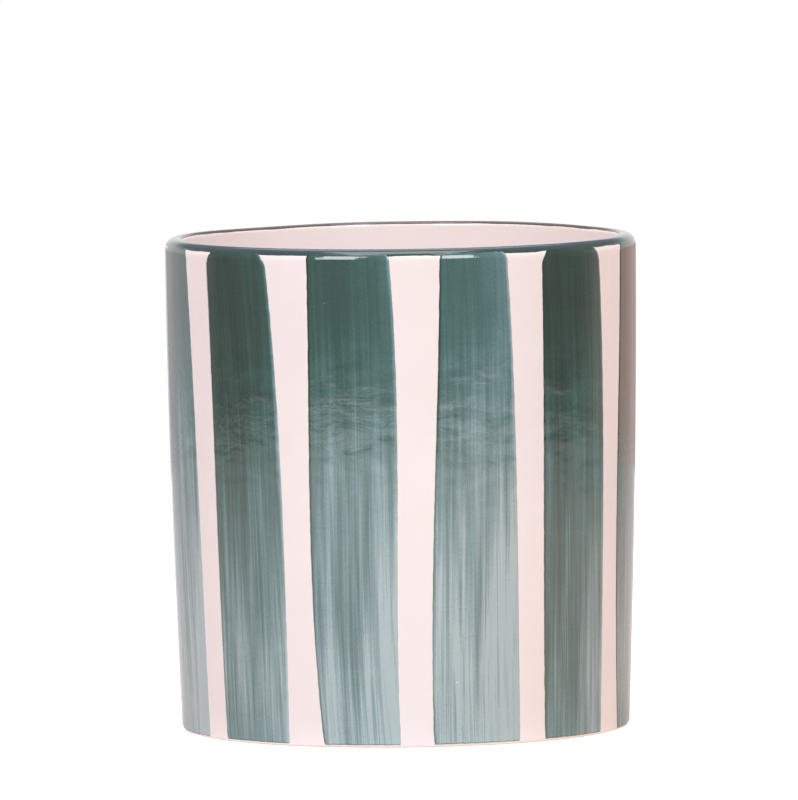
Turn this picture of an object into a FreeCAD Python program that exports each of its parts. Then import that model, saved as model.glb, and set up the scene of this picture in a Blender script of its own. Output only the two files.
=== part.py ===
# Glazed earthenware cachepot with hand-brushed upright stripes and a painted lip.
# Units are millimetres. +Z is up, the origin is the centre of the foot on the table,
# and the side seen in the photograph faces -Y.
import FreeCAD, Part
import Sketcher
import math
import os

# The driving dimensions. Each becomes a named cell of the sheet.
SIZES = {
    # the glazed pot
    "height": 140.0,
    "rim_diameter": 133.5,
    "base_diameter": 126.8,
    "wall_bow": 0.7,
    "clay_wall": 4.0,
    "clay_floor": 4.6,
    "glaze": 0.4,
    # roundings, measured on the glazed surface
    "lip_outer_round": 3.2,
    "lip_inner_round": 1.3,
    "lip_flat": 0.3,
    "floor_round": 7.0,
    "foot_outer_round": 2.2,
    "foot_inner_round": 1.0,
    "recess_round": 1.0,
    # the foot ring and the recess that it stands round
    "foot_width": 7.0,
    "foot_depth": 3.0,
    "glaze_line": 0.5,
    "recess_wipe": 3.0,
    # the painted lip
    "paint": 0.2,
    "paint_clearance": 0.1,
    "band_outer_drop": 1.7,
    "band_inner_drop": 0.4,
    # the brushed stripes, whose places round the wall are angles from the front
    "stripe_count": 12,
    "first_stripe_angle": -72,
    "stripe_line": 0.8,
    "stripe_tuck": 1.6,
    "stripe_corner": 4.0,
    # how far a cutting tool reaches past what it cuts
    "overrun": 5.0,
}

# Each stripe's left and right edge: four control points from the foot to the lip, as shares
# of the space between stripe centres there, measured sideways from the stripe's own centre.
STRIPE_EDGE_SHARES = [
    ((-0.360, -0.385, -0.335, -0.360), (0.380, 0.385, 0.385, 0.230)),
    ((-0.340, -0.385, -0.350, -0.435), (0.360, 0.380, 0.400, 0.230)),
    ((-0.290, -0.450, -0.355, -0.375), (0.360, 0.300, 0.425, 0.300)),
    ((-0.355, -0.415, -0.305, -0.285), (0.410, 0.370, 0.385, 0.280)),
    ((-0.325, -0.395, -0.365, -0.385), (0.400, 0.360, 0.405, 0.285)),
    ((-0.235, -0.480, -0.350, -0.330), (0.370, 0.370, 0.335, 0.310)),
    ((-0.345, -0.360, -0.385, -0.320), (0.380, 0.340, 0.385, 0.270)),
    ((-0.315, -0.405, -0.345, -0.370), (0.390, 0.370, 0.355, 0.300)),
    ((-0.370, -0.350, -0.395, -0.350), (0.345, 0.395, 0.365, 0.260)),
    ((-0.325, -0.385, -0.365, -0.300), (0.410, 0.350, 0.395, 0.310)),
    ((-0.360, -0.395, -0.335, -0.360), (0.370, 0.385, 0.405, 0.250)),
    ((-0.305, -0.415, -0.355, -0.340), (0.400, 0.350, 0.375, 0.290)),
]


class Size:
    """A length worked out from the sheet: its number now, and the expression that keeps it."""

    def __init__(self, text, number):
        self.text = text
        self.number = number

    def __add__(self, other):
        other = as_size(other)
        return Size(f"({self.text} + {other.text})", self.number + other.number)

    def __sub__(self, other):
        other = as_size(other)
        return Size(f"({self.text} - {other.text})", self.number - other.number)

    def __mul__(self, other):
        other = as_size(other)
        return Size(f"({self.text} * {other.text})", self.number * other.number)

    def __truediv__(self, other):
        other = as_size(other)
        return Size(f"({self.text} / {other.text})", self.number / other.number)

    def root(self):
        return Size(f"sqrt({self.text})", math.sqrt(self.number))


def as_size(value):
    return value if isinstance(value, Size) else Size(repr(value), value)


def smaller(first, second):
    return Size(f"min({first.text}; {second.text})", min(first.number, second.number))


def larger(first, second):
    return Size(f"max({first.text}; {second.text})", max(first.number, second.number))


def sheet_size(name):
    return Size(f"Sizes.{name}", SIZES[name])


def make_sheet(document):
    sheet = document.addObject("Spreadsheet::Sheet", "Sizes")
    for row, (name, value) in enumerate(SIZES.items(), start=1):
        sheet.set(f"A{row}", name)
        sheet.set(f"B{row}", str(value))
        sheet.setAlias(f"B{row}", name)
    return sheet


height = sheet_size("height")
rim_radius = sheet_size("rim_diameter") / 2
base_radius = sheet_size("base_diameter") / 2
bow = sheet_size("wall_bow")
glaze = sheet_size("glaze")
paint = sheet_size("paint")
paint_seat = glaze + sheet_size("paint_clearance")
foot_depth = sheet_size("foot_depth")
glaze_line = sheet_size("glaze_line")
stripe_line = sheet_size("stripe_line")
no_skin = Size("0", 0.0)

# A cutting tool of this radius clears the pot wherever along its wall it is widest.
overrun = sheet_size("overrun")
reach = larger(rim_radius, base_radius) + bow + overrun

# The wall's full thickness with glaze on both sides.
wall = sheet_size("clay_wall") + glaze * 2
clay_floor_top = foot_depth + sheet_size("clay_floor")
foot_width = sheet_size("foot_width")
clay_foot_inner_radius = base_radius - glaze - foot_width

# The wall's outside is a shallow arc that stands out by the bow from the straight line between
# the rim and the base. These are that arc's radius and centre, in the pot's half section.
slope = rim_radius - base_radius
chord = (slope * slope + height * height).root()
wall_arc_radius = (chord * chord / 4 + bow * bow) / (bow * 2)
arc_setback = wall_arc_radius - bow
arc_centre_x = (rim_radius + base_radius) / 2 - arc_setback * height / chord
arc_centre_z = height / 2 + arc_setback * slope / chord


def wall_radius(z, inset):
    """The distance from the axis to the wall arc, moved in by inset, at height z."""
    radius = wall_arc_radius - inset
    rise = z - arc_centre_z
    return arc_centre_x + (radius * radius - rise * rise).root()


# The lip's rounded outside takes what the wall's thickness leaves beside its rounded inside.
lip_inner_round = smaller(sheet_size("lip_inner_round"), wall / 3)
lip_room = wall - lip_inner_round - sheet_size("lip_flat")
lip_outer_round = smaller(sheet_size("lip_outer_round"), lip_room)
lip_crest_radius = wall_radius(height, lip_outer_round)

# The foot ring keeps a flat to stand on, and the recess an upright side, between roundings.
foot_outer_round = smaller(sheet_size("foot_outer_round"), foot_width / 3)
foot_inner_round = smaller(sheet_size("foot_inner_round"), foot_depth / 3)
recess_round = smaller(sheet_size("recess_round"), foot_depth / 3)

band_edge = height - sheet_size("band_outer_drop")
band_inner_edge = height - sheet_size("band_inner_drop")


def origin_plane(body, role):
    return next(item for item in body.Origin.OriginFeatures if item.Role == role)


def new_sketch(body, name):
    """A sketch on the body's XZ plane: its X is the distance from the axis, its Y the height."""
    sketch = body.newObject("Sketcher::SketchObject", name)
    sketch.AttachmentSupport = [(origin_plane(body, "XZ_Plane"), "")]
    sketch.MapMode = "FlatFace"
    return sketch


def flat(x, z):
    return FreeCAD.Vector(x.number, z.number, 0)


def hold(sketch, kind, geometry, point, size):
    """Ties one point's distance from the sketch's origin, or a radius, to the sheet."""
    if kind == "Radius":
        index = sketch.addConstraint(Sketcher.Constraint(kind, geometry, size.number))
    else:
        index = sketch.addConstraint(
            Sketcher.Constraint(kind, -1, 1, geometry, point, size.number)
        )
    sketch.setExpression(f"Constraints[{index}]", size.text)


def hold_point(sketch, geometry, point, x, z):
    hold(sketch, "DistanceX", geometry, point, x)
    hold(sketch, "DistanceY", geometry, point, z)


def add_line(sketch, start, end):
    return sketch.addGeometry(Part.LineSegment(flat(*start), flat(*end)), False)


def add_wall_arc(sketch, inset, low, high):
    """The wall's line between two heights, moved in by inset, fixed by centre and radius."""
    radius = wall_arc_radius - inset
    circle = Part.Circle(
        flat(arc_centre_x, arc_centre_z), FreeCAD.Vector(0, 0, 1), radius.number
    )
    start = math.asin((low.number - arc_centre_z.number) / radius.number)
    end = math.asin((high.number - arc_centre_z.number) / radius.number)
    arc = sketch.addGeometry(Part.ArcOfCircle(circle, start, end), False)
    hold(sketch, "Radius", arc, None, radius)
    hold_point(sketch, arc, 3, arc_centre_x, arc_centre_z)
    hold(sketch, "DistanceY", arc, 1, low)
    hold(sketch, "DistanceY", arc, 2, high)
    return arc


def join(sketch, first, first_end, second, second_end):
    sketch.addConstraint(
        Sketcher.Constraint("Coincident", first, first_end, second, second_end)
    )


def revolve(body, sketch, name):
    turned = body.newObject("PartDesign::Revolution", name)
    turned.Profile = sketch
    turned.ReferenceAxis = (sketch, ["V_Axis"])
    turned.Angle = 360.0
    sketch.Visibility = False
    body.Document.recompute()
    return turned


def nearest_edge(shape, miss):
    """The name of the edge for which miss, a distance, is smallest."""
    edges = shape.Edges
    best = min(range(len(edges)), key=lambda index: miss(edges[index]))
    return f"Edge{best + 1}"


def ring_edge(shape, radius, z):
    """The name of the circular edge about the axis nearest to this radius and height."""

    def miss(edge):
        curve = edge.Curve
        if not isinstance(curve, Part.Circle) or len(edge.Vertexes) != 1:
            return math.inf
        return math.hypot(curve.Radius - radius.number, curve.Center.z - z.number)

    return nearest_edge(shape, miss)


def round_ring(body, name, radius, z, fillet):
    """Rounds the circular edge at this radius and height, as the body's next feature."""
    before = body.Tip
    rounded = body.newObject("PartDesign::Fillet", name)
    rounded.Base = (before, [ring_edge(before.Shape, radius, z)])
    rounded.setExpression("Radius", fillet.text)
    before.Visibility = False
    body.Document.recompute()


def pot_form(document, name, skin):
    """The pot's closed form with a skin of this thickness on the clay, as one turned solid."""
    inset = glaze - skin
    bottom = no_skin - skin
    underside = foot_depth - skin
    top = height - inset
    floor_top = clay_floor_top + skin
    foot_inner = clay_foot_inner_radius - skin
    foot_outer = wall_radius(bottom, inset)
    inner_inset = wall - inset
    top_outer = wall_radius(top, inset)
    top_inner = wall_radius(top, inner_inset)
    floor_radius = wall_radius(floor_top, inner_inset)

    body = document.addObject("PartDesign::Body", name)
    sketch = new_sketch(body, name + "_section")
    corners = [
        (no_skin, floor_top),
        (no_skin, underside),
        (foot_inner, underside),
        (foot_inner, bottom),
        (foot_outer, bottom),
    ]
    lines = [add_line(sketch, *pair) for pair in zip(corners, corners[1:])]
    outside = add_wall_arc(sketch, inset, bottom, top)
    lip = add_line(sketch, (top_outer, top), (top_inner, top))
    inside = add_wall_arc(sketch, inner_inset, floor_top, top)
    floor = add_line(sketch, (floor_radius, floor_top), corners[0])

    for first, second in zip(lines, lines[1:]):
        join(sketch, first, 2, second, 1)
    join(sketch, lines[-1], 2, outside, 1)
    join(sketch, outside, 2, lip, 1)
    join(sketch, lip, 2, inside, 2)
    join(sketch, inside, 1, floor, 1)
    join(sketch, floor, 2, lines[0], 1)
    hold_point(sketch, lines[0], 1, *corners[0])
    for line, corner in zip(lines[:3], corners[1:4]):
        hold_point(sketch, line, 2, *corner)
    document.recompute()

    revolve(body, sketch, name + "_turned")
    round_ring(body, name + "_lip_outside", top_outer, top, lip_outer_round - inset)
    round_ring(body, name + "_lip_inside", top_inner, top, lip_inner_round - inset)
    floor_round = sheet_size("floor_round") + inset
    round_ring(body, name + "_floor_corner", floor_radius, floor_top, floor_round)
    round_ring(body, name + "_foot_outside", foot_outer, bottom, foot_outer_round - inset)
    round_ring(body, name + "_foot_inside", foot_inner, bottom, foot_inner_round - inset)
    round_ring(body, name + "_recess_corner", foot_inner, underside, recess_round + inset)
    return body


def turned_zone(document, name, outline):
    """A plain turned solid from a closed outline of (radius, height) corners."""
    body = document.addObject("PartDesign::Body", name)
    sketch = new_sketch(body, name + "_section")
    ends = outline[1:] + outline[:1]
    lines = [add_line(sketch, *pair) for pair in zip(outline, ends)]
    for line, corner in zip(lines, outline):
        hold_point(sketch, line, 1, *corner)
    for first, second in zip(lines, lines[1:] + lines[:1]):
        join(sketch, first, 2, second, 1)
    document.recompute()
    revolve(body, sketch, name + "_turned")
    return body


def wall_split(low, high):
    """A line up through the middle of the clay that parts the outside's skins from the inside's."""
    return [
        (base_radius - wall / 2, low),
        (lip_crest_radius, height - lip_outer_round),
        (lip_crest_radius, high),
    ]


def outside_outline(low, high):
    return wall_split(low, high) + [(reach, high), (reach, low)]


def inside_outline(low, high):
    return [(no_skin, low)] + wall_split(low, high) + [(no_skin, high)]


def cut(document, name, base, tool):
    result = document.addObject("Part::Cut", name)
    result.Base = base
    result.Tool = tool
    document.recompute()
    return result


def common(document, name, base, tool):
    result = document.addObject("Part::Common", name)
    result.Base = base
    result.Tool = tool
    document.recompute()
    return result


def labelled(feature, node):
    feature.Label = node
    return feature


def make_outer_glaze(document, glaze_skin):
    """The cream glaze outside, from the wiped foot up to the crest of the lip."""
    zone = turned_zone(
        document, "outer_zone", outside_outline(glaze_line, height + overrun)
    )
    return labelled(common(document, "OuterGlaze", glaze_skin, zone), "outer_glaze")


def make_inner_glaze(document, glaze_skin):
    """The waterproof lining: the floor, the inside wall and the lip's inner half."""
    zone = turned_zone(
        document, "inner_zone", inside_outline(clay_floor_top - glaze, height + overrun)
    )
    return labelled(common(document, "InnerGlaze", glaze_skin, zone), "inner_glaze")


def make_base_glaze(document, glaze_skin):
    """The glaze in the recess under the pot, wiped back from the foot ring."""
    outer = clay_foot_inner_radius - sheet_size("recess_wipe")
    low = no_skin - overrun
    high = clay_floor_top - glaze
    zone = turned_zone(
        document, "base_zone",
        [(no_skin, low), (outer, low), (outer, high), (no_skin, high)],
    )
    return labelled(common(document, "BaseGlaze", glaze_skin, zone), "base_glaze")


def make_rim_band(document, paint_skin):
    """The dark line painted over the lip, which comes further down outside than inside."""
    inner = rim_radius - wall - overrun
    top = height + overrun
    zone = turned_zone(
        document, "band_zone",
        [
            (inner, band_inner_edge),
            (lip_crest_radius, band_inner_edge),
            (lip_crest_radius, band_edge),
            (reach, band_edge),
            (reach, top),
            (inner, top),
        ],
    )
    return labelled(common(document, "RimBand", paint_skin, zone), "rim_band")


def make_stripe_field(document, paint_skin):
    """The part of the paint's skin that the stripes are cut from, up to the band's edge."""
    low = stripe_line
    high = band_edge
    zone = turned_zone(
        document, "stripe_zone",
        [(base_radius - wall / 2, low), (reach, low), (reach, high), (lip_crest_radius, high)],
    )
    return common(document, "StripeField", paint_skin, zone)


def add_edge_curve(sketch, places):
    """One side of a stripe: a cubic curve whose control points are held by the sheet."""
    curve = Part.BSplineCurve()
    poles = [flat(*place) for place in places]
    curve.buildFromPolesMultsKnots(poles, [4, 4], [0, 1], False, 3)
    edge = sketch.addGeometry(curve, False)
    first_pole = sketch.GeometryCount
    sketch.exposeInternalGeometry(edge)
    for index, place in enumerate(places):
        hold_point(sketch, first_pole + index, 3, *place)
    return edge


def make_stripe(document, number, field):
    """One upright brush stroke: its flat outline pushed through the paint's skin."""
    node = f"stripe_{number + 1:02d}"
    left_shares, right_shares = STRIPE_EDGE_SHARES[number % len(STRIPE_EDGE_SHARES)]
    count = sheet_size("stripe_count")
    low = stripe_line - overrun
    high = band_edge + sheet_size("stripe_tuck")
    levels = [low + (high - low) * step / 3 for step in range(4)]
    radii = [base_radius + slope * step / 3 for step in range(4)]
    spacings = [radius * (2 * math.pi) / count for radius in radii]
    left = [(space * share, z) for space, share, z in zip(spacings, left_shares, levels)]
    right = [(space * share, z) for space, share, z in zip(spacings, right_shares, levels)]

    body = document.addObject("PartDesign::Body", node + "_stroke")
    sketch = new_sketch(body, node + "_outline")
    left_edge = add_edge_curve(sketch, left)
    right_edge = add_edge_curve(sketch, right)
    foot_line = add_line(sketch, left[0], right[0])
    lip_line = add_line(sketch, left[-1], right[-1])
    join(sketch, foot_line, 1, left_edge, 1)
    join(sketch, foot_line, 2, right_edge, 1)
    join(sketch, lip_line, 1, left_edge, 2)
    join(sketch, lip_line, 2, right_edge, 2)
    document.recompute()

    stroke = body.newObject("PartDesign::Pad", node + "_push")
    stroke.Profile = sketch
    stroke.setExpression("Length", reach.text)
    sketch.Visibility = False
    document.recompute()

    def corner_edge(place):
        x, z = place
        return nearest_edge(
            stroke.Shape,
            lambda edge: math.hypot(
                edge.CenterOfMass.x - x.number, edge.CenterOfMass.z - z.number
            ),
        )

    rounded = body.newObject("PartDesign::Fillet", node + "_corners")
    rounded.Base = (stroke, [corner_edge(left[-1]), corner_edge(right[-1])])
    rounded.setExpression("Radius", sheet_size("stripe_corner").text)
    turn = sheet_size("first_stripe_angle") + as_size(number * 360) / count
    body.setExpression(
        "Placement", f"placement(vector(0; 0; 0); rotation(vector(0; 0; 1); {turn.text}))"
    )
    document.recompute()
    return labelled(common(document, "Stripe" + str(number + 1), field, body), node)


def check(document, parts):
    """Stops before anything is written if a feature failed or a piece isn't a sound solid."""
    for item in document.Objects:
        if "Invalid" in item.State or "Error" in item.State:
            raise RuntimeError(f"{item.Label} failed: {item.State}")
    for part in parts:
        shape = part.Shape
        if shape.isNull() or not shape.isValid() or not shape.Solids:
            raise RuntimeError(f"{part.Label} is not a sound solid")
        if min(solid.Volume for solid in shape.Solids) <= 0:
            raise RuntimeError(f"{part.Label} has a solid turned inside out")


def main():
    document = FreeCAD.newDocument("cachepot")
    make_sheet(document)
    document.recompute()

    pot_body = labelled(pot_form(document, "clay_form", no_skin), "pot_body")
    glazed_form = pot_form(document, "glazed_form", glaze)
    seat_form = pot_form(document, "paint_seat_form", paint_seat)
    painted_form = pot_form(document, "painted_form", paint_seat + paint)
    glaze_skin = cut(document, "GlazeSkin", glazed_form, pot_body)
    paint_skin = cut(document, "PaintSkin", painted_form, seat_form)

    parts = [
        pot_body,
        make_outer_glaze(document, glaze_skin),
        make_inner_glaze(document, glaze_skin),
        make_base_glaze(document, glaze_skin),
        make_rim_band(document, paint_skin),
    ]
    field = make_stripe_field(document, paint_skin)
    parts += [
        make_stripe(document, number, field) for number in range(SIZES["stripe_count"])
    ]

    document.recompute()
    check(document, parts)
    os.makedirs("parts", exist_ok=True)
    for part in parts:
        part.Shape.exportStep(f"parts/{part.Label}.step")
        print(part.Label, len(part.Shape.Solids), round(part.Shape.Volume, 1))


main()
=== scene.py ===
import math

import bpy
from mathutils import Matrix, Vector, noise


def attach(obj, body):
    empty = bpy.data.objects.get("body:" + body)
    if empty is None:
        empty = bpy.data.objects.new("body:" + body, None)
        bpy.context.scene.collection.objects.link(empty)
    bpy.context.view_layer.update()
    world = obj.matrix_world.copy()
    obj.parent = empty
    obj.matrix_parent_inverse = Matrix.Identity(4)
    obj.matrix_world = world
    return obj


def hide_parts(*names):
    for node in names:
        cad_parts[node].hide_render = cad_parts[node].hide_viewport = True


# A glazed earthenware cachepot with hand-brushed upright stripes and a painted lip. The sections
# follow the pot as it is made: the clay, the glaze on it, the brush strokes, the painted lip.
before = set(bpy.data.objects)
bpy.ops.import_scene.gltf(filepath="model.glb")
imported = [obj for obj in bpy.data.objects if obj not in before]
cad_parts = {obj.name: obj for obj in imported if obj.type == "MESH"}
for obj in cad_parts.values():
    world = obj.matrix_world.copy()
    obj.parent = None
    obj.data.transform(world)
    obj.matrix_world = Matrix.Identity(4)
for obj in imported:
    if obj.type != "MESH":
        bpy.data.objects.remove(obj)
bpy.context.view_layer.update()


# ---- The clay body -------------------------------------------------------------------------
# The pot itself: a round earthenware wall on a flat floor, cast, trimmed to a low foot ring
# underneath and biscuit fired. It shows bare only on the foot ring and just beside it.
# Sizes are in millimetres; MM turns them into metres.
MM = 0.001
HEIGHT, RIM_RADIUS, BASE_RADIUS, WALL_BOW = 140.0, 66.75, 63.4, 0.7
WALL, GLAZE = 4.8, 0.4
LIP_OUTER_ROUND, LIP_INNER_ROUND, LIP_FLAT = 3.2, 1.3, 0.3
FLOOR_TOP, FLOOR_ROUND = 8.0, 7.0
FOOT_OUTER_ROUND, FOOT_INNER_ROUND, RECESS_ROUND = 2.2, 1.0, 1.0
FOOT_INNER_RADIUS, FOOT_DEPTH = 56.0, 3.0
SEGMENTS = 256
# The radii of the rings that divide the flats under the pot.
FLAT_RINGS = (0, 20, 40, 50)
# How far the hidden face of a coat or of a brush stroke lies inside what it covers.
SUNK = 0.05

# The wall's outside is a shallow arc that bows out from the straight line from base to rim.
chord = math.hypot(RIM_RADIUS - BASE_RADIUS, HEIGHT)
ARC_RADIUS = (chord * chord / 4 + WALL_BOW * WALL_BOW) / (2 * WALL_BOW)
ARC_X = (RIM_RADIUS + BASE_RADIUS) / 2 - (ARC_RADIUS - WALL_BOW) * HEIGHT / chord
ARC_Z = HEIGHT / 2 + (ARC_RADIUS - WALL_BOW) * (RIM_RADIUS - BASE_RADIUS) / chord
LIP_OUTER_Z = HEIGHT - LIP_OUTER_ROUND
LIP_INNER_Z = HEIGHT - LIP_INNER_ROUND
LIP_INNER_INSET = LIP_OUTER_ROUND + LIP_FLAT
FLOOR_CORNER_Z = FLOOR_TOP + FLOOR_ROUND


def wall_radius(z, inset=0.0):
    """The distance from the axis to the wall's outer face, moved in by inset, at height z."""
    return ARC_X + math.sqrt((ARC_RADIUS - inset) ** 2 - (z - ARC_Z) ** 2)


def wall_points(inset, start, end, step):
    """Points up or down the wall between two heights, in the pot's half section."""
    count = max(1, round(abs(end - start) / step))
    heights = [start + (end - start) * i / count for i in range(count + 1)]
    return [(wall_radius(z, inset), z) for z in heights]


def rounding(x, z, radius, start, end, count=8):
    """Points round a corner about its centre, from one angle to another in degrees."""
    angles = [math.radians(start + (end - start) * i / count) for i in range(count + 1)]
    return [(x + radius * math.cos(a), z + radius * math.sin(a)) for a in angles]


def lip_points(skin, count=10):
    """Over the lip from outside to inside, at this height of skin on the clay."""
    inset = GLAZE - skin
    outer = rounding(
        wall_radius(LIP_OUTER_Z, LIP_OUTER_ROUND), LIP_OUTER_Z, LIP_OUTER_ROUND - inset, 0, 90,
        count,
    )
    inner = rounding(
        wall_radius(LIP_INNER_Z, LIP_INNER_INSET), LIP_INNER_Z, LIP_INNER_ROUND - inset, 90, 180,
        count,
    )
    return outer + inner


def floor_points(skin, end_radius=0.0):
    """From the foot of the inside wall round the floor's corner and in towards the axis."""
    inset = GLAZE - skin
    centre_x = wall_radius(FLOOR_CORNER_Z, WALL + FLOOR_ROUND)
    corner = rounding(centre_x, FLOOR_CORNER_Z, FLOOR_ROUND + inset, 0, -90, 12)
    shares = (0.93, 0.85, 0.7, 0.55, 0.4, 0.25, 0.1, 0.02)
    reach = centre_x - end_radius
    flat = [(end_radius + reach * share, FLOOR_TOP - inset) for share in shares]
    return corner + flat + [(end_radius, FLOOR_TOP - inset)]


# How far the wall swells in and out.
OUT_OF_TRUE = 0.18
# The height at which the lip begins to warp, and how much further up it has its full warp.
WARP_START, WARP_RISE = 105, 30
# Where the lip dips or rises at the back: the angle from the back, its spread, and how far.
LIP_WARPS = [(-42, 22, -0.36), (26, 14, 0.10), (60, 14, -0.20)]


def thrown(point):
    """How far the hand-made wall stands out of true at a point: a few tenths of a millimetre."""
    swell = noise.noise(Vector((point.x * 14, point.y * 14, point.z * 6 + 3.1)))
    out = Vector((point.x, point.y, 0)) * (swell * OUT_OF_TRUE / BASE_RADIUS)
    near_lip = min(1, max(0, (point.z / MM - WARP_START) / WARP_RISE))
    if near_lip and point.y > 0:
        angle = math.degrees(math.atan2(point.x, point.y))
        warp = sum(far * math.exp(-((angle - at) / spread) ** 2) for at, spread, far in LIP_WARPS)
        out.z = warp * MM * near_lip * near_lip * min(1, 3 * math.cos(math.radians(angle)))
    return out


def plug(tree, node, sockets):
    """Sets a node's input sockets, or links them where another node's output is given."""
    for key, value in dict(sockets).items():
        if isinstance(value, bpy.types.NodeSocket):
            tree.links.new(value, node.inputs[key])
        else:
            node.inputs[key].default_value = value


def add(tree, kind, sockets=(), **settings):
    """Adds a node, sets its options, and sets or links its input sockets."""
    node = tree.nodes.new(kind)
    for name, value in settings.items():
        setattr(node, name, value)
    plug(tree, node, sockets)
    return node


def calc(tree, operation, *values):
    """One step of arithmetic."""
    return add(tree, "ShaderNodeMath", enumerate(values), operation=operation).outputs[0]


def span(tree, value, start, end, first=0.0, last=1.0, **settings):
    """Goes from the first number to the last as the value goes from start to end."""
    limits = {"Value": value, "From Min": start, "From Max": end, "To Min": first, "To Max": last}
    return add(tree, "ShaderNodeMapRange", limits, **settings).outputs[0]


def mix(tree, share, first, second):
    """The first colour where the share is 0 and the second where it is 1."""
    return add(tree, "ShaderNodeMix", {"Factor": share, "A": first, "B": second},
               data_type="RGBA").outputs["Result"]


def bumped(tree, height, distance=0.03, strength=1.0):
    """A normal bent by a height, where a height of 1 stands for a distance in millimetres."""
    return add(tree, "ShaderNodeBump", {"Height": height, "Distance": distance * MM,
                                        "Strength": strength}).outputs[0]


def new_material(name):
    """Starts a material, and gives it with its tree, its shader and the place on the object."""
    material = bpy.data.materials.new(name)
    material.use_nodes = True
    tree = material.node_tree
    where = add(tree, "ShaderNodeTexCoord").outputs["Object"]
    return material, tree, tree.nodes["Principled BSDF"], where


def new_group(name, kind, inputs, outputs):
    """Starts a node group with named sockets, and gives its tree, inputs and outputs."""
    tree = bpy.data.node_groups.new(name, kind)
    for label, socket_kind in inputs:
        tree.interface.new_socket(label, in_out="INPUT", socket_type="NodeSocket" + socket_kind)
    for label, socket_kind in outputs:
        tree.interface.new_socket(label, in_out="OUTPUT", socket_type="NodeSocket" + socket_kind)
    return tree, tree.nodes.new("NodeGroupInput").outputs, tree.nodes.new("NodeGroupOutput").inputs


def grow(name, start_mesh, tree, values):
    """Runs a geometry tree on an object with these inputs and leaves a plain mesh."""
    obj = bpy.data.objects.new(name, start_mesh)
    bpy.context.scene.collection.objects.link(obj)
    modifier = obj.modifiers.new(tree.name, "NODES")
    modifier.node_group = tree
    for item in tree.interface.items_tree:
        if item.in_out == "INPUT" and item.name in values:
            modifier[item.identifier] = values[item.name]
    graph = bpy.context.evaluated_depsgraph_get()
    mesh = bpy.data.meshes.new_from_object(
        obj.evaluated_get(graph), preserve_all_data_layers=True, depsgraph=graph
    )
    obj.modifiers.clear()
    obj.data = mesh
    mesh.name = name
    for vertex in mesh.vertices:
        vertex.co += thrown(vertex.co)
    return obj


def finish_tree(tree, geometry, material, result):
    """Ends a geometry tree: smooth shading, real instances and this material."""
    smooth = add(tree, "GeometryNodeSetShadeSmooth", {"Geometry": geometry})
    real = add(tree, "GeometryNodeRealizeInstances", {"Geometry": smooth.outputs[0]})
    finished = add(tree, "GeometryNodeSetMaterial", {"Geometry": real.outputs[0],
                                                     "Material": material})
    tree.links.new(finished.outputs[0], result)


# The wheel: turns a half section, given as a row of points, about the pot's axis.
wheel, given, made = new_group(
    "Turned layer",
    "GeometryNodeTree",
    [("Section", "Geometry"), ("Segments", "Int"), ("Material", "Material")],
    [("Layer", "Geometry")],
)
size = add(wheel, "GeometryNodeAttributeDomainSize", {"Geometry": given["Section"]})
count = size.outputs["Point Count"]
columns = calc(wheel, "ADD", given["Segments"], 1)
grid = add(wheel, "GeometryNodeMeshGrid", {"Vertices X": columns, "Vertices Y": count})
index = add(wheel, "GeometryNodeInputIndex").outputs[0]
column = calc(wheel, "FLOOR", calc(wheel, "DIVIDE", index, count))
row = calc(wheel, "SUBTRACT", index, calc(wheel, "MULTIPLY", column, count))
place = add(
    wheel,
    "GeometryNodeSampleIndex",
    {"Geometry": given["Section"], "Value": add(wheel, "GeometryNodeInputPosition").outputs[0],
     "Index": row},
    data_type="FLOAT_VECTOR",
)
turn = calc(wheel, "DIVIDE", calc(wheel, "MULTIPLY", column, math.tau), given["Segments"])
turned = add(
    wheel,
    "ShaderNodeVectorRotate",
    {"Vector": place.outputs[0], "Angle": turn},
    rotation_type="Z_AXIS",
)
placed = add(wheel, "GeometryNodeSetPosition", {"Geometry": grid.outputs["Mesh"],
                                                "Position": turned.outputs[0]})
closed = add(wheel, "GeometryNodeMergeByDistance", {"Geometry": placed.outputs[0],
                                                    "Distance": 0.002 * MM})
finish_tree(wheel, closed.outputs[0], given["Material"], made["Layer"])


def turn_layer(name, section, material):
    """A turned piece from its half section, a list of (radius, height) in millimetres."""
    mesh = bpy.data.meshes.new(name)
    mesh.from_pydata([(x * MM, 0, z * MM) for x, z in section], [], [])
    return grow(name, mesh, wheel, {"Segments": SEGMENTS, "Material": material})


# Biscuit: a dry, warm, finely grained surface with a few darker specks.
clay, tree, shader, where = new_material("Biscuit fired clay")
grain = add(tree, "ShaderNodeTexNoise", {"Vector": where, "Scale": 1400, "Detail": 3})
patches = add(tree, "ShaderNodeTexNoise", {"Vector": where, "Scale": 60, "Detail": 4})
specks = add(tree, "ShaderNodeTexVoronoi", {"Vector": where, "Scale": 420})
spots = span(tree, specks.outputs["Distance"], 0.12, 0.2, 0.55, 0)
tone = mix(tree, patches.outputs["Fac"], (0.90, 0.80, 0.68, 1), (0.82, 0.71, 0.58, 1))
speckled = mix(tree, spots, tone, (0.50, 0.38, 0.28, 1))
relief = calc(tree, "SUBTRACT", grain.outputs["Fac"], spots)
plug(tree, shader, {"Base Color": speckled, "Normal": bumped(tree, relief, 0.06, 0.8),
                    "Roughness": 0.88, "Specular IOR Level": 0.25})

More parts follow.
